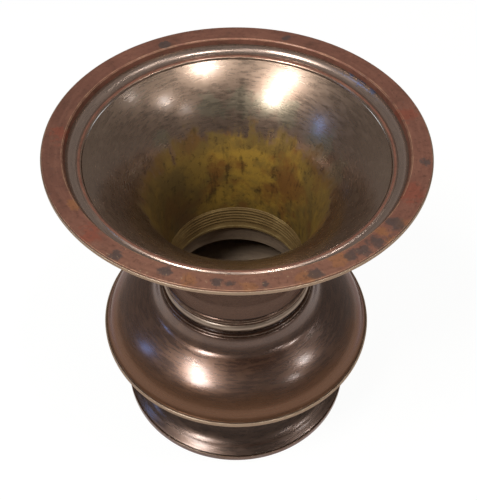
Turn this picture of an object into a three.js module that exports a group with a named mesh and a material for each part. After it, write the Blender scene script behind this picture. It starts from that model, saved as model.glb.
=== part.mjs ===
// A bronze flower vase in three stacked sections: a trumpet mouth with a broad flat rim,
// a bell shaped belly and a spreading foot. Each section is soldered up from turned castings,
// and stands in the one below it on a short round tenon, so that the vase lifts apart.
// Millimetres, +Z up, origin on the table at the centre of the foot.
import * as THREE from "three";

// Driving dimensions
const totalHeight = 295;
const rimRadius = 142.8; // outer edge of the mouth
const bellyRadius = 119.3; // outer edge of the belly
const footRadius = 104.9; // outer edge of the foot
const neckBore = 60.5; // socket in the neck, which takes the mouth's tenon
const waistBore = 50; // socket in the foot, which takes the belly's tenon
const neckSeat = 149.5; // height at which the mouth stands on the neck collar
const bellyLip = 89.7; // top of the belly's edge band
const waistSeat = 51.8; // height at which the belly stands on the foot collar
const footLip = 6; // top of the foot's edge band
const wall = 2.6; // thickness of the belly's and the foot's castings
const bowlWall = 3.4; // thickness of the trumpet
const gap = 0.3; // clearance between pieces that touch
const turns = 48; // facets round the axis

const patina = {
  redBrown: { color: 0x7a4a3a, roughness: 0.42, metalness: 0.85 },
  darkBrown: { color: 0x4a3128, roughness: 0.38, metalness: 0.85 },
  olive: { color: 0x6b5526, roughness: 0.5, metalness: 0.8 },
};

const at = (radius, height) => new THREE.Vector2(radius, height);
const radians = THREE.MathUtils.degToRad;

// Points along a curve, from its start to its end, moved sideways by offset.
// A positive offset lies to the left of the way the curve runs.
function along(curve, steps, offset = 0) {
  const points = [];
  for (let i = 0; i <= steps; i += 1) {
    const tangent = curve.getTangent(i / steps);
    const point = curve.getPoint(i / steps);
    points.push(at(point.x - offset * tangent.y, point.y + offset * tangent.x));
  }
  return points;
}

// A rounded moulding: part of a circle, its angles in degrees from straight outwards.
function moulding(radius, height, size, from, to, steps) {
  const points = [];
  for (let i = 0; i <= steps; i += 1) {
    const angle = radians(from + ((to - from) * i) / steps);
    points.push(at(radius + size * Math.cos(angle), height + size * Math.sin(angle)));
  }
  return points;
}

const bezier = (...points) => new THREE.CubicBezierCurve(...points);

// Spins a closed outline round the vertical axis and names the piece.
// The outline runs up the outside of the piece and down the inside.
function turned(name, outline, finish) {
  const closed = [...outline, outline[0].clone()];
  const geometry = new THREE.LatheGeometry(closed, turns);
  geometry.rotateX(Math.PI / 2);
  const mesh = new THREE.Mesh(geometry, new THREE.MeshStandardMaterial(finish));
  mesh.name = name;
  return mesh;
}

// Mouth section

const bowlTopRadius = 114.4; // where the plain bowl starts, inside the fine groove
const bowlTopHeight = totalHeight - 12.7;
const throatRadius = 57.8;
const throatHeight = totalHeight - rimRadius;
const flarePower = 3.46; // how late and how suddenly the trumpet opens

// Inside line of the trumpet, from the top of the bowl down to the throat.
class TrumpetLine extends THREE.Curve {
  getPoint(t, target = at(0, 0)) {
    const rise = 1 - t;
    const height = throatHeight + (bowlTopHeight - throatHeight) * rise;
    const flare = (bowlTopRadius - throatRadius) * rise ** flarePower;
    return target.set(throatRadius + flare, height);
  }
}

const sleeveRadius = neckBore - gap; // outside of the mouth's tenon
const sleeveTop = neckSeat + 14; // its upper end, let into the stem from below
const sleeveEnd = neckSeat - 11.3; // its lower end, inside the neck
const stemRadius = 62.4;

// Edge of the bowl, where the rim is soldered on: a cut square across the wall.
// The rim's own edge is the same cut, one gap further out.
function bowlEdge(distance) {
  const inside = new TrumpetLine();
  const outwards = inside.getTangent(0).multiplyScalar(-distance);
  return [along(inside, 1, bowlWall)[0].add(outwards), inside.getPoint(0).add(outwards)];
}

// Rim: outer band, flat face, step, round cove, and the low ridge beside the fine groove of the seam.
function mouthRim() {
  const bandBottom = totalHeight - 3.9;
  const faceEdge = 127.9; // inner edge of the flat face
  const coveRadius = 119.6; // centre of the cove's round hollow
  const coveHeight = totalHeight - 5.2;
  const [edgeBelow, edgeAbove] = bowlEdge(gap);
  return turned(
    "mouth_rim",
    [
      edgeBelow,
      at(118.4, totalHeight - 15.2),
      ...moulding(coveRadius, coveHeight, 9, -72, 0, 3),
      at(130, totalHeight - 4),
      at(rimRadius - 0.3, bandBottom),
      at(rimRadius, bandBottom + 0.3),
      at(rimRadius, totalHeight - 0.8),
      at(rimRadius - 0.7, totalHeight),
      at(faceEdge, totalHeight - 1.2),
      at(faceEdge - 0.9, totalHeight - 2),
      ...moulding(coveRadius, coveHeight, 6.3, -5, -95, 4),
      at(118.2, totalHeight - 10.9),
      at(117, totalHeight - 10.7),
      at(115.4, totalHeight - 11.5),
      edgeAbove,
    ],
    patina.redBrown,
  );
}

function mouthBowl() {
  const inside = new TrumpetLine();
  const outside = along(inside, 10, bowlWall).slice(0, 9).reverse();
  return turned(
    "mouth_bowl",
    [
      at(neckBore, neckSeat),
      at(62.2, neckSeat),
      at(63.4, neckSeat + 1.1),
      at(63.4, neckSeat + 3.5),
      at(62.4, neckSeat + 4.7),
      at(63.8, neckSeat + 5.9),
      at(63.8, neckSeat + 6.9),
      at(stemRadius, neckSeat + 7.9),
      at(61.5, neckSeat + 20),
      ...outside,
      ...along(inside, 10).slice(0, 10),
      at(throatRadius, sleeveTop + gap),
      at(neckBore, sleeveTop + gap),
    ],
    patina.darkBrown,
  );
}

// Tenon of the mouth: it lines the foot of the throat and drops into the neck collar.
function throatSleeve() {
  const lipRadius = 55.2;
  return turned(
    "throat_sleeve",
    [
      at(lipRadius + 1.4, sleeveEnd),
      at(sleeveRadius - 0.8, sleeveEnd),
      at(sleeveRadius, sleeveEnd + 1.2),
      at(sleeveRadius, sleeveTop),
      at(throatRadius, sleeveTop),
      at(throatRadius, sleeveEnd + 17),
      at(56.9, sleeveEnd + 8),
      at(lipRadius, sleeveEnd + 1.6),
    ],
    patina.olive,
  );
}

// Belly section

const collarFoot = neckSeat - 12.1; // underside of the collar's flange
const domeRadius = bellyRadius - 1.7; // edge of the dome, inside the band
const waistRadius = waistBore + 2.9; // outside of the waist ring

// Socket of the neck, with the bead that shows below the mouth and the hollow under the bead.
function neckCollar() {
  const tubeRadius = neckBore + 2.5;
  const tubeEnd = neckSeat - 31.5;
  return turned(
    "neck_collar",
    [
      at(neckBore, tubeEnd),
      at(tubeRadius, tubeEnd),
      at(tubeRadius, collarFoot),
      at(65.5, collarFoot),
      at(65.5, collarFoot + 0.9),
      at(65, collarFoot + 1.2),
      at(62.3, collarFoot + 1),
      ...moulding(60, neckSeat - 4.5, 4.1, -50, 70, 5),
      at(neckBore, neckSeat - gap),
    ],
    patina.darkBrown,
  );
}

// Outline of a bell: the fall round its hole, the dome, and the flare at its edge.
// The curves up to the dome's, moved inwards by the wall, make its inside, from the curve
// whose number is lined on.
function bellOutline(hole, top, curves, edgeRadius, edgeBottom, steps, lined = 1) {
  const outer = curves.flatMap((curve, i) => along(curve, steps[i]).slice(i ? 1 : 0));
  const inner = along(curves[1], steps[1], -wall);
  if (lined === 0) inner.unshift(...along(curves[0], steps[0], -wall).slice(1, steps[0]));
  const innerEdge = inner[inner.length - 1];
  return [
    at(hole, top - wall - 1),
    ...inner,
    at(innerEdge.x, edgeBottom),
    at(edgeRadius, edgeBottom),
    ...outer.reverse(),
    at(hole, top),
  ];
}

function bellyDome() {
  const top = collarFoot - gap;
  const shoulder = at(77.5, top - 14.1);
  const skirt = at(113.2, bellyLip + 7.5);
  const curves = [
    bezier(at(66.3, top), at(69.3, top - 0.3), at(69.3, top - 10.8), shoulder),
    bezier(shoulder, at(91, top - 19.6), at(107.5, bellyLip + 21.3), skirt),
    bezier(skirt, at(114.4, bellyLip + 4.4), at(115.6, bellyLip + 1.3), at(domeRadius, bellyLip + 0.3)),
  ];
  const outline = bellOutline(neckBore + 2.8, top, curves, domeRadius, bellyLip - 2.3, [4, 9, 3], 0);
  return turned("belly_dome", outline, patina.darkBrown);
}

// Underside of the belly: a shallow dish whose upright band is the belly's sharp edge.
function bellyBase() {
  const hole = waistRadius + gap;
  const neckEnd = bellyLip - 27.4;
  const ledge = bellyLip - 2.6; // carries the edge of the dome
  const under = bezier(
    at(115.5, bellyLip - 7.6),
    at(90, bellyLip - 11.4),
    at(57, bellyLip - 9.4),
    at(hole + 1.6, neckEnd),
  );
  const floor = along(under, 7, -wall);
  const bandInside = domeRadius + gap;
  return turned(
    "belly_base",
    [
      at(hole, neckEnd),
      ...along(under, 7).reverse(),
      at(bellyRadius - 0.7, bellyLip - 4.3),
      at(bellyRadius, bellyLip - 3.6),
      at(bellyRadius, bellyLip - 0.6),
      at(bellyRadius - 0.5, bellyLip),
      at(bandInside, bellyLip),
      at(bandInside, ledge),
      at(111.5, ledge),
      ...floor.slice(1, 6),
      at(hole, bellyLip - 16.9),
    ],
    patina.darkBrown,
  );
}

const waistTop = waistSeat + 18.7; // upper end of the ring and the stem, soldered together there
const stemRadiusInside = waistBore - gap - wall;

// Ring of the waist, soldered into the base, with the moulding that stands on the foot.
function waistRing() {
  return turned(
    "waist_ring",
    [
      at(waistBore, waistSeat),
      at(waistRadius + 1.2, waistSeat),
      at(waistRadius + 2, waistSeat + 1.6),
      at(waistRadius + 1.2, waistSeat + 3.4),
      at(waistRadius, waistSeat + 4.6),
      at(waistRadius, waistTop),
      at(waistBore, waistTop),
    ],
    patina.darkBrown,
  );
}

// Tenon of the belly: a tube that lines the waist ring and drops into the foot.
function waistStem() {
  const stemEnd = waistSeat - 19.8;
  const tenonRadius = waistBore - gap;
  return turned(
    "waist_stem",
    [
      at(stemRadiusInside, stemEnd),
      at(tenonRadius - 0.8, stemEnd),
      at(tenonRadius, stemEnd + 1.2),
      at(tenonRadius, waistTop),
      at(stemRadiusInside, waistTop),
    ],
    patina.darkBrown,
  );
}

// Floor of the vessel, let into the stem and soldered all round.
function floorPlate() {
  const radius = stemRadiusInside - gap;
  const underside = waistSeat - 16;
  const thickness = 3;
  return turned(
    "floor_plate",
    [
      at(0, underside),
      at(radius, underside),
      at(radius, underside + thickness),
      at(0, underside + thickness),
    ],
    patina.olive,
  );
}

// Foot section

const footTop = waistSeat - 10.3; // underside of the foot collar's flange

function footCollar() {
  const tubeRadius = waistBore + 2.5;
  const tubeEnd = waistSeat - 22.3;
  return turned(
    "foot_collar",
    [
      at(waistBore, tubeEnd),
      at(tubeRadius, tubeEnd),
      at(tubeRadius, footTop),
      at(57.2, footTop),
      at(57.2, footTop + 0.8),
      at(54.6, footTop + 2.6),
      ...moulding(52.6, footTop + 5.8, 3.4, -50, 70, 4),
      at(53, waistSeat - gap),
      at(waistBore, waistSeat - gap),
    ],
    patina.darkBrown,
  );
}

function footBell() {
  const top = footTop - gap;
  const edge = footRadius - 1.6;
  const shoulder = at(61, top - 3.2);
  const skirt = at(97.2, footLip + 3.4);
  const curves = [
    bezier(at(57.6, top), at(57.8, top - 2), at(59, top - 3), shoulder),
    bezier(shoulder, at(80, top - 5.5), at(81, footLip + 8), skirt),
    bezier(skirt, at(99.7, footLip + 2.2), at(101.7, footLip + 1), at(edge, footLip + 0.4)),
  ];
  const outline = bellOutline(waistBore + 2.8, top, curves, edge, footLip - 2.2, [2, 9, 2]);
  return turned("foot_bell", outline, patina.darkBrown);
}

// Standing ring: the band round the edge of the foot and the flat face it rests on.
function footRing() {
  const inside = footRadius - 10.9;
  const bandInside = footRadius - 1.3;
  const ledge = footLip - 2.5; // carries the edge of the bell
  return turned(
    "foot_ring",
    [
      at(inside, 0),
      at(footRadius - 0.5, 0),
      at(footRadius, 0.5),
      at(footRadius, footLip - 0.5),
      at(footRadius - 0.4, footLip),
      at(bandInside, footLip),
      at(bandInside, ledge),
      at(inside, ledge),
    ],
    patina.darkBrown,
  );
}

const vase = new THREE.Group();
const foot = new THREE.Group();
const belly = new THREE.Group();
const mouth = new THREE.Group();
foot.add(footRing(), footBell(), footCollar());
belly.add(bellyBase(), bellyDome(), neckCollar(), waistRing(), waistStem(), floorPlate());
mouth.add(mouthRim(), mouthBowl(), throatSleeve());
vase.add(foot, belly, mouth);

export default vase;
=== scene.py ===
# Bronze flower vase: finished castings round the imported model, in the same frame
import math

import bpy
from mathutils import Matrix, Vector


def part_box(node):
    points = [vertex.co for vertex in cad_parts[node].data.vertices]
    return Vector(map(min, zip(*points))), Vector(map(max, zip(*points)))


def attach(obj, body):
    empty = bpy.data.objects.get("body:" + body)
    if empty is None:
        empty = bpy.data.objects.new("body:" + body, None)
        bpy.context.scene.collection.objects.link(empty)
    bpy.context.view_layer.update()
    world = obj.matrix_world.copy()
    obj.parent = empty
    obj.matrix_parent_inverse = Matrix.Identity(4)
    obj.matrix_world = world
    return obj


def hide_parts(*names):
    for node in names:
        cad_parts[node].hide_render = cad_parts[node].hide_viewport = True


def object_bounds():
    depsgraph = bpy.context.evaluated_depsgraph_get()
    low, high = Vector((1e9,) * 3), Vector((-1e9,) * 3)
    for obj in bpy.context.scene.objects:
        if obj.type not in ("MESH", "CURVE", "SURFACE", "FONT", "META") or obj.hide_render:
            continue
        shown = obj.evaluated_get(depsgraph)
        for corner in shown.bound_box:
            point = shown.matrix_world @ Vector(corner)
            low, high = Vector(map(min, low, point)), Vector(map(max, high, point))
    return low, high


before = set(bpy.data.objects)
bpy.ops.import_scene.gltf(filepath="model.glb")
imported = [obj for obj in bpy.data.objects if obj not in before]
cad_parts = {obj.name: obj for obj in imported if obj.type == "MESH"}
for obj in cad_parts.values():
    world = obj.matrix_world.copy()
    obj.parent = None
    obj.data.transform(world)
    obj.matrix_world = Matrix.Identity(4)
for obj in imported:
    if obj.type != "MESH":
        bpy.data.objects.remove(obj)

cadLow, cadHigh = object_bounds()
mm = 0.001

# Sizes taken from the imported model, in millimetres
height = cadHigh.z / mm
rimRadius = cadHigh.x / mm
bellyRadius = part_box("belly_base")[1].x / mm
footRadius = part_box("foot_ring")[1].x / mm
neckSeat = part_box("mouth_bowl")[0].z / mm  # the mouth stands on the neck collar here
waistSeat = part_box("waist_ring")[0].z / mm  # the belly stands on the foot collar here
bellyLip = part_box("belly_base")[1].z / mm  # top of the belly's edge band
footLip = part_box("foot_ring")[1].z / mm  # top of the foot's edge band
gap = 0.3  # room between pieces that touch
turns = 192  # facets round the axis
print("frame loaded, height", round(height, 1), "mm")


def arc(radius, level, size, start, end, steps=10):
    # part of a circle, its angles in degrees from straight outwards
    angles = [math.radians(start + (end - start) * i / steps) for i in range(steps + 1)]
    return [(radius + size * math.cos(a), level + size * math.sin(a)) for a in angles]


def bow(a, b, c, d, steps=24):
    # cubic curve from a to d, pulled towards b and c
    points = []
    for i in range(steps + 1):
        t = i / steps
        weights = ((1 - t) ** 3, 3 * t * (1 - t) ** 2, 3 * t * t * (1 - t), t ** 3)
        points.append(tuple(sum(w * p[k] for w, p in zip(weights, (a, b, c, d))) for k in (0, 1)))
    return points


def beside(points, offset):
    # the same line moved sideways, to its left where the offset is positive
    moved = []
    for i, point in enumerate(points):
        before, after = points[max(i - 1, 0)], points[min(i + 1, len(points) - 1)]
        along = Vector((after[0] - before[0], after[1] - before[1])).normalized()
        moved.append((point[0] - offset * along.y, point[1] + offset * along.x))
    return moved


def eased(stretches, closed=True, steps=5):
    # joins the stretches into one outline; a point's third value is how far its corner is cut back,
    # and a stretch's number is its zone: 0 the outside, 1 the band, 2 the face, 3 the inside
    corners = [(Vector(p[:2]), p[2] if len(p) > 2 else 0, zone) for zone, line in stretches for p in line]
    points = []
    for i, (corner, cut, zone) in enumerate(corners):
        if not cut:
            points.append((corner, 0.0, zone))
            continue
        back = corners[i - 1][0] - corner
        ahead = corners[(i + 1) % len(corners)][0] - corner
        worn = 1.0 if ahead.cross(back) > 0 else -1.0  # inner corners get darker instead
        reach = min(cut, 0.4 * back.length, 0.4 * ahead.length)
        start, end = corner + back.normalized() * reach, corner + ahead.normalized() * reach
        points.append((corner + back.normalized() * reach * 1.2, 0.0, zone))
        for k in range(steps + 1):
            t = k / steps
            bent = start * (1 - t) ** 2 + corner * 2 * t * (1 - t) + end * t * t
            points.append((bent, worn * math.sin(math.pi * (k + 0.5) / (steps + 1)), zone))
        points.append((corner + ahead.normalized() * reach * 1.2, 0.0, zone))
    return points, closed


# Geometry Nodes tree that turns an outline round the vertical axis
def turningTree():
    tree = bpy.data.node_groups.new("turnedCasting", "GeometryNodeTree")
    socket = tree.interface.new_socket
    socket("Outline", in_out="INPUT", socket_type="NodeSocketGeometry")
    socket("Turns", in_out="INPUT", socket_type="NodeSocketInt")
    socket("Rail Radius", in_out="INPUT", socket_type="NodeSocketFloat")
    for zone in ("Outside", "Band", "Face", "Inside"):
        socket(zone, in_out="INPUT", socket_type="NodeSocketMaterial")
    socket("Casting", in_out="OUTPUT", socket_type="NodeSocketGeometry")
    add, link = tree.nodes.new, tree.links.new
    given = add("NodeGroupInput")
    line = add("GeometryNodeMeshToCurve")
    rail = add("GeometryNodeCurvePrimitiveCircle")
    upright = add("GeometryNodeSetCurveNormal")
    upright.mode = "Z_UP"
    swept = add("GeometryNodeCurveToMesh")
    outwards = add("GeometryNodeFlipFaces")
    poles = add("GeometryNodeMergeByDistance")
    poles.inputs["Distance"].default_value = 0.02 * mm
    smooth = add("GeometryNodeSetShadeSmooth")
    real = add("GeometryNodeRealizeInstances")
    link(given.outputs["Outline"], line.inputs["Mesh"])
    link(given.outputs["Turns"], rail.inputs["Resolution"])
    link(given.outputs["Rail Radius"], rail.inputs["Radius"])
    link(rail.outputs["Curve"], upright.inputs["Curve"])
    link(upright.outputs["Curve"], swept.inputs["Curve"])
    link(line.outputs["Curve"], swept.inputs["Profile Curve"])
    link(swept.outputs["Mesh"], outwards.inputs["Mesh"])
    link(outwards.outputs["Mesh"], poles.inputs["Geometry"])
    link(poles.outputs["Geometry"], smooth.inputs["Geometry"])
    link(smooth.outputs["Geometry"], real.inputs["Geometry"])
    last = real.outputs["Geometry"]
    zoneRead = add("GeometryNodeInputNamedAttribute")
    zoneRead.data_type = "FLOAT"
    zoneRead.inputs["Name"].default_value = "zone"
    for level, zone in enumerate(("Outside", "Band", "Face", "Inside")):
        reached = add("FunctionNodeCompare")
        reached.data_type, reached.operation = "FLOAT", "GREATER_THAN"
        reached.inputs["B"].default_value = level - 0.5
        paint = add("GeometryNodeSetMaterial")
        link(zoneRead.outputs["Attribute"], reached.inputs["A"])
        link(last, paint.inputs["Geometry"])
        link(reached.outputs["Result"], paint.inputs["Selection"])
        link(given.outputs[zone], paint.inputs["Material"])
        last = paint.outputs["Geometry"]
    result = add("NodeGroupOutput")
    link(last, result.inputs["Casting"])
    return tree


castingTree = turningTree()
railRadius = 10.0  # mm, of the circle that the outline is swept along


def turned(name, node, body, outline, finishes):
    # one smooth casting that stands for a node of the frame
    points, closed = outline
    mesh = bpy.data.meshes.new(name + "Outline")
    places = [((p.x - railRadius) * mm, -p.y * mm, 0.0) for p, worn, zone in points]
    edges = [(i, i + 1) for i in range(len(points) - 1)]
    if closed:
        edges.append((len(points) - 1, 0))
    mesh.from_pydata(places, edges, [])
    mesh.attributes.new("wear", "FLOAT", "POINT").data.foreach_set("value", [w for p, w, z in points])
    mesh.attributes.new("zone", "FLOAT", "POINT").data.foreach_set("value", [float(z) for p, w, z in points])
    along = [0.0]  # metres along the outline
    for here, ahead in zip(points, points[1:]):
        along.append(along[-1] + (ahead[0] - here[0]).length * mm)
    mesh.attributes.new("along", "FLOAT", "POINT").data.foreach_set("value", along)
    draft = bpy.data.objects.new(name + "Draft", mesh)
    bpy.context.scene.collection.objects.link(draft)
    modifier = draft.modifiers.new("turning", "NODES")
    modifier.node_group = castingTree
    settings = {"Turns": turns, "Rail Radius": railRadius * mm}
    settings.update(zip(("Outside", "Band", "Face", "Inside"), finishes + finishes[-1:] * 3))
    for item in castingTree.interface.items_tree:
        if item.in_out == "INPUT" and item.name in settings:
            modifier[item.identifier] = settings[item.name]
    depsgraph = bpy.context.evaluated_depsgraph_get()
    final = bpy.data.meshes.new_from_object(draft.evaluated_get(depsgraph), depsgraph=depsgraph)
    final.name = name
    bpy.data.objects.remove(draft)
    piece = bpy.data.objects.new(name, final)
    bpy.context.scene.collection.objects.link(piece)
    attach(piece, body)
    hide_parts(node)
    return piece


# Mouth section

mouth = {
    "throat": 57.8,  # radius of the bore
    "bowlTop": (114.4, height - 12.7),  # where the plain bowl ends, inside the fine groove
    "throatLevel": height - rimRadius,
    "flare": 3.46,  # how late and how suddenly the trumpet opens
    "wall": 3.4,
    "bore": 60.5,
    "stem": 62.4,
    "face": 127.9,  # inner edge of the rim's flat face
    "cove": (119.6, height - 5.2, 6.3),  # centre and size of the round hollow
    "coveOutside": 9,  # size of its outside
    "band": 3.9,  # thickness of the rim
    "sleeveTop": neckSeat + 14,
    "sleeveEnd": neckSeat - 11.3,
}


def trumpet(offset=0.0, steps=60):
    # line of the trumpet from its top down to the throat
    m = mouth
    line = []
    for i in range(steps + 1):
        rise = 1 - i / steps
        level = m["throatLevel"] + (m["bowlTop"][1] - m["throatLevel"]) * rise
        line.append((m["throat"] + (m["bowlTop"][0] - m["throat"]) * rise ** m["flare"], level))
    return beside(line, offset)


def bowlEdge(distance):
    # the square cut across the wall where the rim is soldered on, moved outwards by distance
    inside, outside = trumpet(), trumpet(mouth["wall"])
    ahead = (Vector(inside[0]) - Vector(inside[1])).normalized() * distance
    return tuple(Vector(outside[0]) + ahead), tuple(Vector(inside[0]) + ahead)


def rimOutline():
    m = mouth
    r, z, size = m["cove"]
    bandFoot = height - m["band"]
    edgeBelow, edgeAbove = bowlEdge(gap)
    under = [
        (*edgeBelow, 0.3), (118.4, height - 15.2), *arc(r, z, m["coveOutside"], -72, 0, 12),
        (130, height - 4, 1.2),
    ]
    band = [
        (rimRadius - 0.4, bandFoot, 0.5), (rimRadius, bandFoot + 0.4, 0.3), (rimRadius, height - 1, 0.4),
    ]
    face = [
        (rimRadius - 0.8, height - 0.9, 0.12), (rimRadius - 1.1, height, 0.4),  # fine rebate round the face
        (m["face"], height - 1.2, 0.6), (m["face"] - 0.9, height - 2, 0.5),
    ]
    cove = [*arc(r, z, size, -5, -95, 16), (118.2, height - 10.9, 0.5)]
    crest = [(117.3, height - 10.75), (117, height - 10.7, 0.2), (116.7, height - 10.8)]
    groove = [(115.4, height - 11.5, 0.5), (*edgeAbove, 0.3)]
    return eased([(0, under), (1, band), (2, face), (3, cove), (2, crest), (3, groove)])


def bowlOutline():
    m = mouth
    seat = neckSeat
    outside = [p for p in reversed(trumpet(m["wall"])) if p[1] > seat + 22]
    edgeBelow, edgeAbove = bowlEdge(0)
    shelf = m["sleeveTop"] + gap
    neck = [
        (m["bore"], seat, 0.3), (62.2, seat, 0.4), (63.4, seat + 1.1, 0.7), (63.4, seat + 3.5, 0.8),
        (62.4, seat + 4.7, 0.5), (63.8, seat + 5.9, 0.7), (63.8, seat + 6.9, 0.7),
        (m["stem"], seat + 7.9, 0.6), (61.5, seat + 20),
    ]
    bowl = [
        (*edgeAbove, 0.3), *[p for p in trumpet()[1:] if p[1] > shelf + 1],
        (m["throat"], shelf, 0.2), (m["bore"], shelf, 0.2),
    ]
    return eased([(0, neck), (0, outside[:-1]), (0, [(*edgeBelow, 0.3)]), (3, bowl)])


def sleeveOutline():
    outer, top, end, lip = mouth["bore"] - gap, mouth["sleeveTop"], mouth["sleeveEnd"], 55.2
    rings = []
    count = 5  # turned rings above the lip
    for i in range(count * 8 + 1):
        t = i / (count * 8)
        level = top - 1 - t * (top - end - 9)
        rings.append((mouth["throat"] - 0.9 * t - 0.28 * (1 - math.cos(2 * math.pi * count * t)), level))
    return eased([
        (0, [(lip + 1.4, end, 0.5), (outer - 0.8, end, 0.4), (outer, end + 1.2, 0.4), (outer, top, 0.2)]),
        (3, [(mouth["throat"], top), *rings, (lip + 0.4, end + 4, 1.0), (lip, end + 1.6, 0.6)]),
    ])


# Belly section

belly = {
    "collarFoot": neckSeat - 12.1,  # underside of the collar's flange
    "collarEnd": neckSeat - 31.5,  # lower end of the socket
    "domeEdge": bellyRadius - 1.7,
    "wall": 2.6,
    "bore": 60.5,
}


def collarOutline():
    b = belly
    flange, end, bore, tube = b["collarFoot"], b["collarEnd"], b["bore"], b["bore"] + 2.5
    outside = [
        (tube, end, 0.5), (tube, flange, 0.4), (65.5, flange, 0.3), (65.5, flange + 0.9, 0.3),
        (65, flange + 1.2, 0.3), (62.3, flange + 1, 0.6),
    ]
    bead = arc(60, neckSeat - 4.5, 4.1, -50, 70, 14)
    return eased([(3, [(bore, end, 0.5)]), (0, outside), (1, bead), (3, [(bore, neckSeat - gap, 0.3)])])


def bellOutline(hole, top, curves, edge, edgeFoot, wall, fallInside=()):
    # the fall round the hole, the dome and the flare at its edge, with the dome's inside
    outer = [p for i, line in enumerate(curves) for p in line[(1 if i else 0):]]
    inner = [*fallInside, *beside(curves[1], -wall)]
    inside = [(hole, top - wall - 1, 0.4), *inner, (inner[-1][0], edgeFoot, 0.4)]
    outside = [(edge, edgeFoot, 0.3), (*outer[-1], 0.3), *reversed(outer[1:-1]), (*outer[0], 0.4)]
    return eased([(3, inside), (0, [*outside, (hole, top, 0.3)])])


def domeOutline():
    b = belly
    top = b["collarFoot"] - gap
    shoulder, skirt, edge = (77.5, top - 14.1), (113.2, bellyLip + 7.5), (b["domeEdge"], bellyLip + 0.3)
    curves = [
        bow((66.3, top), (69.3, top - 0.3), (69.3, top - 10.8), shoulder, 16),
        bow(shoulder, (91, top - 19.6), (107.5, bellyLip + 21.3), skirt, 40),
        bow(skirt, (114.4, bellyLip + 4.4), (115.6, bellyLip + 1.3), edge, 8),
    ]
    fallInside = beside(curves[0], -b["wall"])[4:16]
    return bellOutline(b["bore"] + 2.8, top, curves, b["domeEdge"], bellyLip - 2.3, b["wall"], fallInside)


waist = {
    "bore": 50.0,
    "ring": 52.9,  # outside of the waist ring
    "top": waistSeat + 18.7,  # upper end of the ring and the stem
    "stemInside": 47.1,
    "stemEnd": waistSeat - 19.8,
    "floor": waistSeat - 16,  # underside of the floor
    "floorThick": 3.0,
}


def baseOutline():
    b = belly
    hole, neckEnd, ledge = waist["ring"] + gap, bellyLip - 27.4, bellyLip - 2.6
    edge, neckTop = (115.5, bellyLip - 7.6), (hole + 1.6, neckEnd)
    under = bow(edge, (90, bellyLip - 11.4), (57, bellyLip - 9.4), neckTop, 30)
    floor = [p for p in beside(under, -b["wall"])[3:] if p[0] > hole + 3]
    bandInside = b["domeEdge"] + gap
    outside = [(hole, neckEnd, 0.3), (*under[-1], 0.5), *reversed(under[:-1])]
    band = [
        (bellyRadius - 0.7, bellyLip - 4.3, 0.5), (bellyRadius, bellyLip - 3.6, 0.5),
        (bellyRadius, bellyLip - 0.6, 0.5), (bellyRadius - 0.5, bellyLip, 0.4), (bandInside, bellyLip, 0.2),
    ]
    inside = [(bandInside, ledge, 0.2), (111.5, ledge, 0.6), *floor, (hole, bellyLip - 16.9, 0.5)]
    return eased([(0, outside), (1, band), (3, inside)])


def waistRingOutline():
    w = waist
    outside = [
        (w["bore"], waistSeat, 0.3), (w["ring"] + 1.2, waistSeat, 0.6),
        (w["ring"] + 2, waistSeat + 1.6, 0.8), (w["ring"] + 1.2, waistSeat + 3.4, 0.8),
        (w["ring"], waistSeat + 4.6, 0.6), (w["ring"], w["top"], 0.4), (w["bore"], w["top"], 0.3),
    ]
    return eased([(0, outside)])


def stemOutline():
    w = waist
    tenon, inside, end = w["bore"] - gap, w["stemInside"], w["stemEnd"]
    return eased([
        (0, [(inside, end, 0.4), (tenon - 0.8, end, 0.5), (tenon, end + 1.2, 0.5), (tenon, w["top"], 0.4)]),
        (3, [(inside, w["top"], 0.4)]),
    ])


def floorOutline():
    radius, under = waist["stemInside"] - gap, waist["floor"]
    top = under + waist["floorThick"]
    return eased([(0, [(0, under), (radius, under, 0.3)]), (3, [(radius, top, 0.3), (0, top)])], closed=False)


# Foot section

foot = {"top": waistSeat - 10.3, "collarEnd": waistSeat - 22.3, "edge": footRadius - 1.6, "wall": 2.6}


def footCollarOutline():
    bore, top, end = waist["bore"], foot["top"], foot["collarEnd"]
    tube = bore + 2.5
    outside = [
        (bore, end, 0.4), (tube, end, 0.5), (tube, top, 0.4), (57.2, top, 0.3), (57.2, top + 0.8, 0.4),
        (54.6, top + 2.6, 0.5), *arc(52.6, top + 5.8, 3.4, -50, 70, 12),
        (53, waistSeat - gap, 0.3), (bore, waistSeat - gap, 0.3),
    ]
    return eased([(0, outside)])


def footBellOutline():
    f = foot
    top = f["top"] - gap
    shoulder, skirt, edge = (61, top - 3.2), (97.2, footLip + 3.4), (f["edge"], footLip + 0.4)
    curves = [
        bow((57.6, top), (57.8, top - 2), (59, top - 3), shoulder, 8),
        bow(shoulder, (80, top - 5.5), (81, footLip + 8), skirt, 36),
        bow(skirt, (99.7, footLip + 2.2), (101.7, footLip + 1), edge, 8),
    ]
    return bellOutline(waist["bore"] + 2.8, top, curves, f["edge"], footLip - 2.2, f["wall"])


def footRingOutline():
    inside, bandInside, ledge = footRadius - 10.9, footRadius - 1.3, footLip - 2.5
    outline = [
        (inside, 0, 0.4), (footRadius - 0.5, 0, 0.4), (footRadius, 0.5, 0.4),
        (footRadius, footLip - 0.5, 0.4), (footRadius - 0.4, footLip, 0.3), (bandInside, footLip, 0.2),
        (bandInside, ledge, 0.2), (inside, ledge, 0.4),
    ]
    return eased([(0, outline)])


# Finishes

def feed(tree, socket, value):
    # links a socket, or sets its value where it isn't a socket
    if isinstance(value, bpy.types.NodeSocket):
        tree.links.new(value, socket)
    elif isinstance(value, tuple) and socket.type == "RGBA":
        socket.default_value = (*value[:3], 1)
    else:
        socket.default_value = value


def node(tree, kind, given=None, **settings):
    made = tree.nodes.new(kind)
    for name, value in settings.items():
        setattr(made, name, value)
    for name, value in (given or {}).items():
        feed(tree, made.inputs[name], value)
    return made


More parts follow.
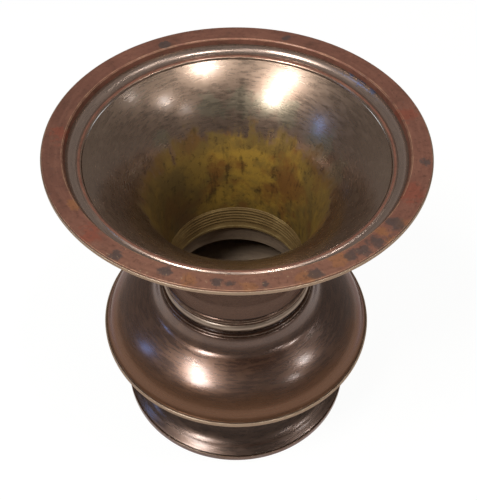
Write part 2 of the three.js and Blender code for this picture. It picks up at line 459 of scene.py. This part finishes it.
def maths(tree, operation, *values):
    made = tree.nodes.new("ShaderNodeMath")
    made.operation = operation
    for socket, value in zip(made.inputs, values):
        feed(tree, socket, value)
    return made.outputs[0]


def plus(tree, a, b):
    return maths(tree, "ADD", a, b)


def minus(tree, a, b):
    return maths(tree, "SUBTRACT", a, b)


def times(tree, a, b):
    return maths(tree, "MULTIPLY", a, b)


def mixed(tree, factor, a, b):
    made = node(tree, "ShaderNodeMix", data_type="RGBA")
    for place, value in ((0, factor), (6, a), (7, b)):
        feed(tree, made.inputs[place], value)
    return made.outputs[2]


def ranged(tree, value, low, high, start=0.0, end=1.0):
    # smooth step from start to end while the value goes from low to high
    given = {"Value": value, "From Min": low, "From Max": high, "To Min": start, "To Max": end}
    return node(tree, "ShaderNodeMapRange", given, interpolation_type="SMOOTHSTEP").outputs[0]


def effectGroup(name, inputs, outputs):
    # shader group with named inputs and outputs; C is a colour, F a number, V a vector
    kinds = {"C": "NodeSocketColor", "F": "NodeSocketFloat", "V": "NodeSocketVector"}
    tree = bpy.data.node_groups.new(name, "ShaderNodeTree")
    for label, kind in inputs:
        tree.interface.new_socket(label, in_out="INPUT", socket_type=kinds[kind])
    for label, kind in outputs:
        tree.interface.new_socket(label, in_out="OUTPUT", socket_type=kinds[kind])
    return tree, tree.nodes.new("NodeGroupInput").outputs, tree.nodes.new("NodeGroupOutput").inputs


def objectPlace(tree):
    return node(tree, "ShaderNodeTexCoord").outputs["Object"]


def placeParts(tree, place=None):
    return node(tree, "ShaderNodeSeparateXYZ", {"Vector": place or objectPlace(tree)}).outputs


def fromAxis(tree):
    # distance from the axis of the vase
    flattened = {0: objectPlace(tree), 1: (1, 1, 0)}
    level = node(tree, "ShaderNodeVectorMath", flattened, operation="MULTIPLY").outputs["Vector"]
    return node(tree, "ShaderNodeVectorMath", {0: level}, operation="LENGTH").outputs["Value"]


def clouds(tree, scale, detail=6.0, roughness=0.65):
    given = {"Vector": objectPlace(tree), "Scale": scale, "Detail": detail, "Roughness": roughness}
    return node(tree, "ShaderNodeTexNoise", given).outputs[0]


def swayed(tree, value, noise, amount):
    # value moved up and down by a noise, amount from end to end
    return plus(tree, value, times(tree, minus(tree, noise, 0.5), amount))


def turningMarksGroup():
    # noise drawn out round the axis: Fineness counts along the outline, Sweep round the axis
    inputs = [("Fineness", "F"), ("Sweep", "F"), ("Detail", "F")]
    tree, given, result = effectGroup("turningMarks", inputs, [("Value", "F")])
    parts = placeParts(tree)
    level = node(tree, "ShaderNodeCombineXYZ", {"X": parts["X"], "Y": parts["Y"]}).outputs[0]
    way = node(tree, "ShaderNodeVectorMath", {0: level}, operation="NORMALIZE").outputs["Vector"]
    swept = {0: way, "Scale": given["Sweep"]}
    circle = placeParts(tree, node(tree, "ShaderNodeVectorMath", swept, operation="SCALE").outputs[0])
    along = node(tree, "ShaderNodeAttribute", attribute_name="along").outputs["Fac"]
    place = {"X": circle["X"], "Y": circle["Y"], "Z": times(tree, along, given["Fineness"])}
    spot = node(tree, "ShaderNodeCombineXYZ", place).outputs[0]
    grain = {"Vector": spot, "Scale": 1.0, "Detail": given["Detail"], "Roughness": 0.6}
    feed(tree, result["Value"], node(tree, "ShaderNodeTexNoise", grain).outputs[0])
    return tree


def mottleGroup():
    # three tones of patina, clouded at two scales
    inputs = [("Dark", "C"), ("Main", "C"), ("Light", "C"), ("Scale", "F"), ("Spread", "F")]
    tree, given, result = effectGroup("patinaMottle", inputs, [("Color", "C")])
    broad = clouds(tree, given["Scale"], 7.0, 0.62)
    fine = clouds(tree, times(tree, given["Scale"], 6.0), 5.0, 0.7)
    cloud = plus(tree, times(tree, broad, 0.65), times(tree, fine, 0.35))
    centred = times(tree, minus(tree, cloud, 0.5), given["Spread"])
    colour = mixed(tree, ranged(tree, centred, 0.0, -1.0), given["Main"], given["Dark"])
    colour = mixed(tree, ranged(tree, centred, 0.0, 1.0), colour, given["Light"])
    feed(tree, result["Color"], colour)
    return tree


def edgeWearGroup():
    # rubbed outer edges and darker inner corners, from the outline's wear, both broken up
    inputs = [("Reach", "F"), ("Scatter", "F")]
    tree, given, result = effectGroup("edgeWear", inputs, [("Worn", "F"), ("CornerDark", "F")])
    wear = node(tree, "ShaderNodeAttribute", attribute_name="wear").outputs["Fac"]
    noise = clouds(tree, given["Scatter"], 6.0, 0.7)
    worn = ranged(tree, swayed(tree, wear, noise, 2.2), 0.5, 1.1)
    cornerDark = ranged(tree, swayed(tree, wear, noise, 0.8), -0.26, -0.8)
    feed(tree, result["Worn"], times(tree, worn, given["Reach"]))
    feed(tree, result["CornerDark"], times(tree, cornerDark, 0.85))
    return tree


def patchGroup():
    # a ragged patch round one place
    inputs = [("Place", "V"), ("Size", "F"), ("Ragged", "F")]
    tree, given, result = effectGroup("raggedPatch", inputs, [("Mask", "F")])
    size, ends = given["Size"], {0: objectPlace(tree), 1: given["Place"]}
    away = node(tree, "ShaderNodeVectorMath", ends, operation="DISTANCE").outputs["Value"]
    shaken = swayed(tree, away, given["Ragged"], times(tree, size, 4.5))
    feed(tree, result["Mask"], ranged(tree, shaken, times(tree, size, 1.3), times(tree, size, 0.6)))
    return tree


turningMarks, patinaMottle = turningMarksGroup(), mottleGroup()
edgeWear, raggedPatch = edgeWearGroup(), patchGroup()


def effect(tree, group, **given):
    made = tree.nodes.new("ShaderNodeGroup")
    made.node_tree = group
    for name, value in given.items():
        feed(tree, made.inputs[name], value)
    return made.outputs


def mottled(tree, look):
    scale, spread = look["mottle"]
    return effect(tree, patinaMottle, Dark=look["dark"], Main=look["main"], Light=look["light"],
                  Scale=scale, Spread=spread)["Color"]


def marked(tree, marks):
    fineness, sweep, detail = marks
    return effect(tree, turningMarks, Fineness=fineness, Sweep=sweep, Detail=detail)["Value"]


def edged(tree, colour, look):
    # the same colour with its worn edges and darker inner corners
    reach, scatter = look["edges"]
    edges = effect(tree, edgeWear, Reach=reach, Scatter=scatter)
    return mixed(tree, edges["CornerDark"], mixed(tree, edges["Worn"], colour, look["worn"]), look["cornerDark"])


def patchMask(tree, places, ragged, strength):
    # one mask for all the patches of a colour; each is x, y, z and size in millimetres
    mask = 0.0
    for x, y, z, size in places:
        place = (x * mm, y * mm, z * mm)
        spot = effect(tree, raggedPatch, Place=place, Size=size * mm, Ragged=ragged)["Mask"]
        mask = maths(tree, "MAXIMUM", mask, spot)
    return times(tree, mask, strength)


def newMaterial(name, **constants):
    material = bpy.data.materials.new(name)
    material.use_nodes = True
    shader = material.node_tree.nodes["Principled BSDF"]
    for label, value in constants.items():
        feed(material.node_tree, shader.inputs[label.replace("_", " ")], value)
    return material, material.node_tree, shader


def roughened(tree, marks, look):
    # roughness that changes along the turning marks
    low, high = look["roughness"]
    return ranged(tree, marks, *look["roughMarks"], low, high)


def raised(tree, shader, level, look):
    distance, strength = look["bump"]
    bump = node(tree, "ShaderNodeBump", {"Height": level, "Distance": distance, "Strength": strength})
    feed(tree, shader.inputs["Normal"], bump.outputs[0])


def grained(tree, level):
    # fine casting grain over the turning marks
    return swayed(tree, level, clouds(tree, 900.0, 2.0), 0.3)


dark = {
    "dark": (0.055, 0.029, 0.020), "main": (0.092, 0.047, 0.030), "light": (0.160, 0.084, 0.050),
    "warmRubAndSheen": (0.125, 0.054, 0.024), "worn": (0.46, 0.35, 0.25), "cornerDark": (0.018, 0.011, 0.008),
    "metallic": 0.75, "coat": 0.9,
    "roughness": (0.21, 0.35),  # from and to, along the turning marks
    "roughMarks": (0.25, 0.75),  # the marks between which it changes
    "mottle": (15.0, 3.6),  # scale and spread of the clouds of patina
    "marks": (480.0, 6.0, 7.0),  # fineness, sweep and detail of the turning marks
    "streaks": (0.42, 0.72, 0.0, 0.45),  # the marks between which it gets lighter, and by how much
    "rubbedAndLit": (98 * mm, 112 * mm, 0.0, 0.8),  # radii between which it turns warmer, partly rubbed patina and partly painted sheen, and how much
    "edges": (0.35, 160.0),  # strength of the edge wear and how finely it is broken up
    "bump": (0.065 * mm, 0.8),  # depth and strength
}


# a darker copy of the dark bronze for the foot bell: painted shade of the belly over it
shadowed = {
    **dark, "dark": (0.042, 0.026, 0.019), "main": (0.076, 0.046, 0.033), "light": (0.130, 0.080, 0.057),
    "warmRubAndSheen": (0.085, 0.050, 0.036), "worn": (0.42, 0.33, 0.25), "cornerDark": (0.016, 0.011, 0.009),
    "metallic": 0.8, "coat": 0.45, "roughness": (0.22, 0.36),
}


# lighter bronze for the rim's band, the neck's bead and the belly's band: rubbed wear, partly a painted sheen
rubbedAndSheen = {
    **dark, "dark": (0.12, 0.082, 0.057), "main": (0.28, 0.20, 0.145), "light": (0.41, 0.31, 0.225),
    "warmRubAndSheen": (0.30, 0.20, 0.13), "worn": (0.60, 0.47, 0.34), "cornerDark": (0.020, 0.012, 0.009),
    "metallic": 0.8, "coat": 0.6, "roughness": (0.31, 0.45),
}


neckDark = {**dark, "coat": 0.25, "light": (0.130, 0.070, 0.043)}


def makeDarkBronze(name, look):
    material, tree, shader = newMaterial(
        name, Metallic=look["metallic"], Specular_IOR_Level=0.25, Specular_Tint=(0.45, 0.33, 0.27),
        Coat_Roughness=0.2)
    marks = marked(tree, look["marks"])
    colour = mixed(tree, ranged(tree, marks, *look["streaks"]), mottled(tree, look), look["light"])
    # warmer and duller towards the edges of the belly and the foot: partly rubbed patina where hands take
    # hold, partly a painted sheen
    radius = swayed(tree, fromAxis(tree), clouds(tree, 30.0), 16 * mm)
    rubbedAndLit = ranged(tree, radius, *look["rubbedAndLit"])
    colour = mixed(tree, rubbedAndLit, colour, look["warmRubAndSheen"])
    feed(tree, shader.inputs["Base Color"], edged(tree, colour, look))
    feed(tree, shader.inputs["Roughness"], roughened(tree, marks, look))
    coat = times(tree, look["coat"], minus(tree, 1.0, times(tree, rubbedAndLit, 0.8)))
    feed(tree, shader.inputs["Coat Weight"], coat)
    raised(tree, shader, grained(tree, marks), look)
    return material


rim = {
    "dark": (0.075, 0.036, 0.024), "main": (0.170, 0.070, 0.047), "light": (0.24, 0.105, 0.068),
    "slate": (0.060, 0.050, 0.046), "orange": (0.32, 0.130, 0.040), "red": (0.22, 0.058, 0.034),
    # front is the colour of the painted light on the front of the face
    "pale": (0.45, 0.30, 0.17), "front": (0.30, 0.150, 0.095), "worn": (0.40, 0.235, 0.135),
    "cornerDark": (0.040, 0.017, 0.012), "metallic": 0.5, "roughness": (0.36, 0.56), "roughMarks": (0.2, 0.8),
    "mottle": (24.0, 4.6), "marks": (420.0, 7.0, 6.0), "streaks": (0.4, 0.7, 0.0, 0.35),
    "edges": (0.55, 120.0), "bump": (0.05 * mm, 0.8),
    "frontLitAndRubbedFrom": (-80 * mm, -130 * mm, 0.0, 0.07),  # Y between which the face gets its painted light and its rubbed specks, and how much
    "frontLitFace": (122 * mm, 126 * mm, 0.0, 4.5),  # radii between which this shows as a lighter face, painted light
    "leftShadeFrom": (-95 * mm, -140 * mm, 0.0, 0.35),  # X between which it gets painted shade, and how much
    "slatePlaces": [
        (106, -84, height, 7), (91, -99, height, 7), (82, -107, height, 5), (74, -112, height, 4),
        (50, -127, height, 4.5), (135, -23, height, 4.5), (-77, -112, height, 4.5), (-45, -126, height, 4),
        (-13, -135, height, 4), (-4, -136, height, 2.5), (18, -137, height, 2.5), (-60, 118, height, 4),
        (40, 128, height, 3),
    ],
    "orangePlaces": [
        (97, -91, height, 6), (101, -99, height, 5), (111, -84, height, 5), (66, -114, height, 6),
        (45, -131, height, 6), (8, -140, height, 5), (-30, -134, height, 5), (-110, -66, height, 5),
    ],
    "redPlaces": [(120, -54, height, 10), (-96, -94, height, 8), (124, 30, height, 9), (-126, 8, height, 10)],
}


def makeRimBronze(look):
    material, tree, shader = newMaterial(
        "rimBronze", Metallic=look["metallic"], Specular_IOR_Level=0.3, Specular_Tint=(0.6, 0.45, 0.36),
        Coat_Weight=0.15, Coat_Roughness=0.2)
    marks = marked(tree, look["marks"])
    ragged, grain = clouds(tree, 110.0, 6.0, 0.7), clouds(tree, 330.0, 5.0, 0.75)
    colour = mixed(tree, ranged(tree, marks, *look["streaks"]), mottled(tree, look), look["light"])
    # painted light and shade: the flat face is lighter at the front and darker at the left
    parts = placeParts(tree)
    rubbedAndLit = ranged(tree, parts["Y"], *look["frontLitAndRubbedFrom"])
    front = times(tree, rubbedAndLit, ranged(tree, fromAxis(tree), *look["frontLitFace"]))
    colour = mixed(tree, front, colour, look["front"])
    colour = mixed(tree, ranged(tree, parts["X"], *look["leftShadeFrom"]), colour, look["dark"])
    for kind, strength in (("red", 0.6), ("orange", 0.4)):
        colour = mixed(tree, patchMask(tree, look[kind + "Places"], ragged, strength), colour, look[kind])
    scattered = swayed(tree, clouds(tree, 55.0, 7.0, 0.7), grain, 0.3)
    slate = maths(tree, "MAXIMUM", ranged(tree, scattered, 0.58, 0.72, 0.0, 0.6),
                  patchMask(tree, look["slatePlaces"], ragged, 0.75))
    colour = mixed(tree, slate, colour, look["slate"])
    colour = mixed(tree, ranged(tree, grain, 0.48, 0.34, 0.0, 0.5), colour, look["dark"])
    # pale specks where hands have rubbed the front of the rim
    specks = ranged(tree, plus(tree, grain, rubbedAndLit), 0.66, 0.76, 0.0, 0.6)
    colour = mixed(tree, specks, colour, look["pale"])
    feed(tree, shader.inputs["Base Color"], edged(tree, colour, look))
    feed(tree, shader.inputs["Roughness"], roughened(tree, marks, look))
    raised(tree, shader, plus(tree, marks, ragged), look)
    return material


bowl = {
    "dark": (0.074, 0.047, 0.032), "main": (0.150, 0.096, 0.065), "light": (0.220, 0.150, 0.105),
    "worn": (0.34, 0.19, 0.13), "cornerDark": (0.025, 0.014, 0.010), "gold": (0.35, 0.205, 0.036),
    "olive": (0.165, 0.104, 0.030), "rust": (0.190, 0.078, 0.022), "drip": (0.032, 0.021, 0.012),
    # cove is the hollow's colour, lighter partly as a painted sheen
    "shade": (0.085, 0.056, 0.024), "greenPatinaSheen": (0.150, 0.128, 0.084), "cove": (0.290, 0.205, 0.162),
    "blueReflection": (0.10, 0.16, 0.30), "blot": (0.032, 0.021, 0.012),
    "metallic": 0.85, "coat": 0.5, "roughness": (0.22, 0.36), "roughMarks": (0.25, 0.75),
    "mottle": (26.0, 4.4), "marks": (520.0, 9.0, 7.0), "streaks": (0.45, 0.75, 0.0, 0.5),
    "darkStreaks": (0.45, 0.25, 0.0, 0.12), "edges": (0.6, 120.0), "bump": (0.065 * mm, 0.8),
    "drips": (30.0, 10.0, 7.0),  # fineness, sweep and detail of the drips
    "upperWallSheen": (92 * mm, 112 * mm, 0.0, 0.35),  # radii between which the wall gets a painted sheen
    "coveSheenFrom": (116 * mm, 118 * mm, 0.0, 0.8),  # radii between which the hollow of the rim begins, lighter partly as a painted sheen
    "stainEdge": (248 * mm, 236 * mm),  # levels between which the water stain sets in
    "stainMiddle": 16 * mm,  # X of its brightest part
    "stainShadeAside": (24 * mm, 60 * mm, 0.0, 0.65),  # from how far aside the painted shade darkens it, and how much
    # greenish patina on the bowl's wall, lighter partly as a painted sheen
    "greenPatinaSheenPlaces": [
        (68, 39, 249.6, 13), (75, 14, 246, 11), (60, 52, 252, 9), (-62, 48, 250, 8), (-22, 82, 257, 10),
        (2, 88, 259, 11), (22, 84, 258, 11), (42, 72, 256, 10),
    ],
    # painted blue reflection in the hollow of the rim
    "blueReflectionPlaces": [(92, 86, 290, 3.5), (99, 78, 290, 5), (107, 66, 289.5, 3.5)],
    "blotPlaces": [
        (4.6, 97.5, 269.7, 5), (4, 92, 265, 3), (3.5, 88, 261, 3), (3, 83, 255.5, 3), (2.5, 79, 251, 3),
        (2, 75, 246, 2.5),
    ],
}


def bareBowl(tree, look, marks, ragged):
    # the bowl above the stain: greenish patina patches lighter partly as painted sheen, the wall's painted
    # sheen, the hollow of the rim lighter partly as painted sheen, and its painted blue reflection
    colour = mixed(tree, ranged(tree, marks, *look["streaks"]), mottled(tree, look), look["light"])
    colour = mixed(tree, ranged(tree, marks, *look["darkStreaks"]), colour, look["dark"])
    colour = mixed(tree, ranged(tree, fromAxis(tree), *look["upperWallSheen"]), colour, look["light"])
    colour = mixed(tree, patchMask(tree, look["greenPatinaSheenPlaces"], ragged, 0.6), colour, look["greenPatinaSheen"])
    colour = mixed(tree, ranged(tree, fromAxis(tree), *look["coveSheenFrom"]), colour, look["cove"])
    return mixed(tree, patchMask(tree, look["blueReflectionPlaces"], ragged, 0.75), colour, look["blueReflection"])


def waterStain(tree, look, ragged, fine):
    # gold with olive and rust in it, running up in tongues and down in drips, and where it covers
    parts, drips = placeParts(tree), marked(tree, look["drips"])
    golden = swayed(tree, clouds(tree, 24.0, 6.0), ragged, 0.5)
    stain = mixed(tree, ranged(tree, golden, 0.40, 0.66), look["olive"], look["gold"])
    stain = mixed(tree, ranged(tree, clouds(tree, 34.0, 7.0), 0.46, 0.61, 0.0, 0.8), stain, look["rust"])
    running = ranged(tree, swayed(tree, drips, ragged, 0.6), 0.46, 0.24, 0.0, 0.7)
    stain = mixed(tree, running, stain, look["drip"])
    # painted shade: the stain darker to both sides of its middle
    aside = maths(tree, "ABSOLUTE", minus(tree, parts["X"], look["stainMiddle"]))
    shade = ranged(tree, swayed(tree, aside, ragged, 50 * mm), *look["stainShadeAside"])
    stain = mixed(tree, shade, stain, look["shade"])
    stain = mixed(tree, ranged(tree, fine, 0.47, 0.34, 0.0, 0.55), stain, look["drip"])
    level = parts["Z"]
    for noise, amount in ((drips, 34 * mm), (ragged, 50 * mm), (fine, 16 * mm)):
        level = swayed(tree, level, noise, amount)
    return stain, ranged(tree, level, *look["stainEdge"])


def makeBowlBronze(look):
    material, tree, shader = newMaterial(
        "bowlBronze", Specular_IOR_Level=0.25, Specular_Tint=(0.5, 0.4, 0.33), Coat_Roughness=0.18)
    marks = marked(tree, look["marks"])
    ragged, fine = clouds(tree, 60.0, 7.0, 0.68), clouds(tree, 200.0, 6.0, 0.72)
    stain, covered = waterStain(tree, look, ragged, fine)
    colour = mixed(tree, covered, bareBowl(tree, look, marks, ragged), stain)
    colour = mixed(tree, patchMask(tree, look["blotPlaces"], ragged, 0.3), colour, look["blot"])
    feed(tree, shader.inputs["Base Color"], edged(tree, colour, look))
    # the stain is duller and less metallic than the bare bowl
    rough = plus(tree, roughened(tree, marks, look), times(tree, covered, 0.1))
    feed(tree, shader.inputs["Roughness"], rough)
    feed(tree, shader.inputs["Coat Weight"], minus(tree, look["coat"], times(tree, covered, 0.42)))
    feed(tree, shader.inputs["Metallic"], minus(tree, look["metallic"], times(tree, covered, 0.5)))
    raised(tree, shader, grained(tree, plus(tree, marks, times(tree, fine, 0.5))), look)
    return material


stained = {
    "dark": (0.065, 0.039, 0.016), "main": (0.16, 0.095, 0.033), "light": (0.29, 0.19, 0.073),
    "worn": (0.45, 0.33, 0.14), "cornerDark": (0.03, 0.02, 0.01), "metallic": 0.35,
    "roughness": (0.42, 0.60), "roughMarks": (0.2, 0.8), "mottle": (40.0, 4.4), "marks": (600.0, 2.5, 5.0),
    "streaks": (0.4, 0.75, 0.0, 0.5), "edges": (0.5, 150.0), "bump": (0.08 * mm, 0.7),
}


raw = {
    **stained, "dark": (0.085, 0.056, 0.034), "main": (0.20, 0.137, 0.090), "light": (0.32, 0.23, 0.15),
    "worn": (0.5, 0.38, 0.26), "cornerDark": (0.05, 0.03, 0.02), "metallic": 0.2, "roughness": (0.52, 0.70),
}


def makeWaterStained(name, look):
    material, tree, shader = newMaterial(name, Metallic=look["metallic"], Specular_IOR_Level=0.3)
    marks = marked(tree, look["marks"])
    colour = mixed(tree, ranged(tree, marks, *look["streaks"]), mottled(tree, look), look["light"])
    feed(tree, shader.inputs["Base Color"], edged(tree, colour, look))
    feed(tree, shader.inputs["Roughness"], roughened(tree, marks, look))
    raised(tree, shader, marks, look)
    return material


darkBronze, rubbedSheenBronze = makeDarkBronze("darkBronze", dark), makeDarkBronze("rubbedSheenBronze", rubbedAndSheen)
shadowBronze, neckBronze = makeDarkBronze("shadowBronze", shadowed), makeDarkBronze("neckBronze", neckDark)
rimBronze, bowlBronze = makeRimBronze(rim), makeBowlBronze(bowl)
oliveBronze, rawInside = makeWaterStained("oliveBronze", stained), makeWaterStained("rawInside", raw)
print("finishes made")

pieces = [
    turned("mouthRim", "mouth_rim", "mouth", rimOutline(),
           [darkBronze, rubbedSheenBronze, rimBronze, bowlBronze]),
    turned("mouthBowl", "mouth_bowl", "mouth", bowlOutline(), [neckBronze, bowlBronze]),
    turned("throatSleeve", "throat_sleeve", "mouth", sleeveOutline(),
           [darkBronze, oliveBronze]),
    turned("neckCollar", "neck_collar", "belly", collarOutline(),
           [darkBronze, rubbedSheenBronze, rawInside]),
    turned("bellyDome", "belly_dome", "belly", domeOutline(), [darkBronze, rawInside]),
    turned("bellyBase", "belly_base", "belly", baseOutline(),
           [darkBronze, rubbedSheenBronze, rawInside]),
    turned("waistRing", "waist_ring", "belly", waistRingOutline(), [darkBronze]),
    turned("waistStem", "waist_stem", "belly", stemOutline(), [darkBronze, rawInside]),
    turned("floorPlate", "floor_plate", "belly", floorOutline(), [darkBronze, rawInside]),
    turned("footCollar", "foot_collar", "foot", footCollarOutline(), [darkBronze]),
    turned("footBell", "foot_bell", "foot", footBellOutline(), [shadowBronze]),
    turned("footRing", "foot_ring", "foot", footRingOutline(), [darkBronze]),
]
print("castings turned:", len(pieces))

# Camera, at the photograph's place

cameraPlace = {
    "front": 469.0,  # mm before the axis
    "up": 706.3,
    "down": 48.74,  # degrees below level
    "yaw": -0.0035,  # radians
    "roll": 0.0081,
    "lens": 60.81,
}


def placeCamera(c):
    data = bpy.data.cameras.new("camera")
    data.lens = c["lens"]
    data.clip_start = 0.01
    camera = bpy.data.objects.new("camera", data)
    bpy.context.scene.collection.objects.link(camera)
    turn = Matrix.Rotation(c["yaw"], 4, "Z") @ Matrix.Rotation(math.radians(90 - c["down"]), 4, "X")
    turn = turn @ Matrix.Rotation(c["roll"], 4, "Z")
    camera.matrix_world = Matrix.Translation((0, -c["front"] * mm, c["up"] * mm)) @ turn
    bpy.context.scene.camera = camera


placeCamera(cameraPlace)
bpy.context.scene.view_settings.view_transform = "Standard"

# Stage: pale floor, soft room and lamps

def background(tree):
    # 1 for the rays that see the white background: from the camera, off gloss and through glass
    seen = node(tree, "ShaderNodeLightPath").outputs
    gloss = maths(tree, "MAXIMUM", seen["Is Glossy Ray"], seen["Is Transmission Ray"])
    return maths(tree, "MAXIMUM", seen["Is Camera Ray"], gloss)


def addFloor():
    bpy.ops.mesh.primitive_circle_add(vertices=64, radius=4, fill_type="NGON")
    floor = bpy.context.object
    floor.name = "floor"
    material, tree, shader = newMaterial(
        "paleFloor", Base_Color=(0.95, 0.94, 0.92), Roughness=0.9, Specular_IOR_Level=0.0)
    glow = node(tree, "ShaderNodeEmission", {"Color": (1.0, 1.0, 0.995), "Strength": 1.0})
    part = times(tree, background(tree), 0.93)
    mix = node(tree, "ShaderNodeMixShader", {"Fac": part, 1: shader.outputs[0], 2: glow.outputs[0]})
    feed(tree, tree.nodes["Material Output"].inputs["Surface"], mix.outputs[0])
    floor.data.materials.append(material)


room = {"low": 0.46, "high": 0.23, "light": 0.4}


def addRoom(look):
    # white at the horizon, greyer overhead for what the metal mirrors, even for the light it casts
    world = bpy.data.worlds.new("room")
    bpy.context.scene.world = world
    world.use_nodes = True
    tree = world.node_tree
    way = node(tree, "ShaderNodeTexCoord").outputs["Generated"]
    up = node(tree, "ShaderNodeSeparateXYZ", {"Vector": way}).outputs["Z"]
    shown = ranged(tree, up, 0.0, 0.6, look["low"], look["high"])
    strength = mixed(tree, background(tree), (look["light"],) * 3, node(tree, "ShaderNodeCombineXYZ", {
        "X": shown, "Y": shown, "Z": shown}).outputs[0])
    feed(tree, tree.nodes["Background"].inputs["Color"], strength)


# each lamp: place in metres, width, height, power and colour;
# they stand where the gloss in the photograph asks for them
plain = (0.95, 0.98, 1.0)
lamps = {
    "ceilingLeft": ((-0.645, -0.31, 1.90), 0.26, 0.22, 9.0, plain),
    "ceilingMiddle": ((-0.715, -0.61, 1.90), 0.30, 0.32, 10.0, plain),
    "ceilingFront": ((-0.80, -1.0, 1.90), 0.40, 0.46, 17.0, plain),
    "ceilingRight": ((0.375, -0.315, 1.94), 0.22, 0.22, 10.0, plain),
    "ceilingFar": ((1.36, -0.29, 1.89), 0.16, 0.14, 4.2, plain),
    "ceilingNear": ((1.43, -0.97, 1.90), 0.14, 0.14, 2.2, plain),
    "ceilingBack": ((1.28, 0.41, 1.90), 0.12, 0.12, 1.0, plain),
    "windowLeft": ((-1.29, -0.02, 1.09), 0.18, 0.40, 1.25, (0.22, 0.42, 1.0)),
}


def addLamp(name, place, width, tall, power, colour):
    data = bpy.data.lights.new(name, "AREA")
    data.shape, data.size, data.size_y, data.energy, data.color = "ELLIPSE", width, tall, power, colour
    lamp = bpy.data.objects.new(name, data)
    bpy.context.scene.collection.objects.link(lamp)
    lamp.location = place
    lamp.rotation_euler = (Vector((0, 0, 0.15)) - Vector(place)).to_track_quat("-Z", "Y").to_euler()


addFloor()
addRoom(room)
for name, lamp in lamps.items():
    addLamp(name, *lamp)
print("stage set")
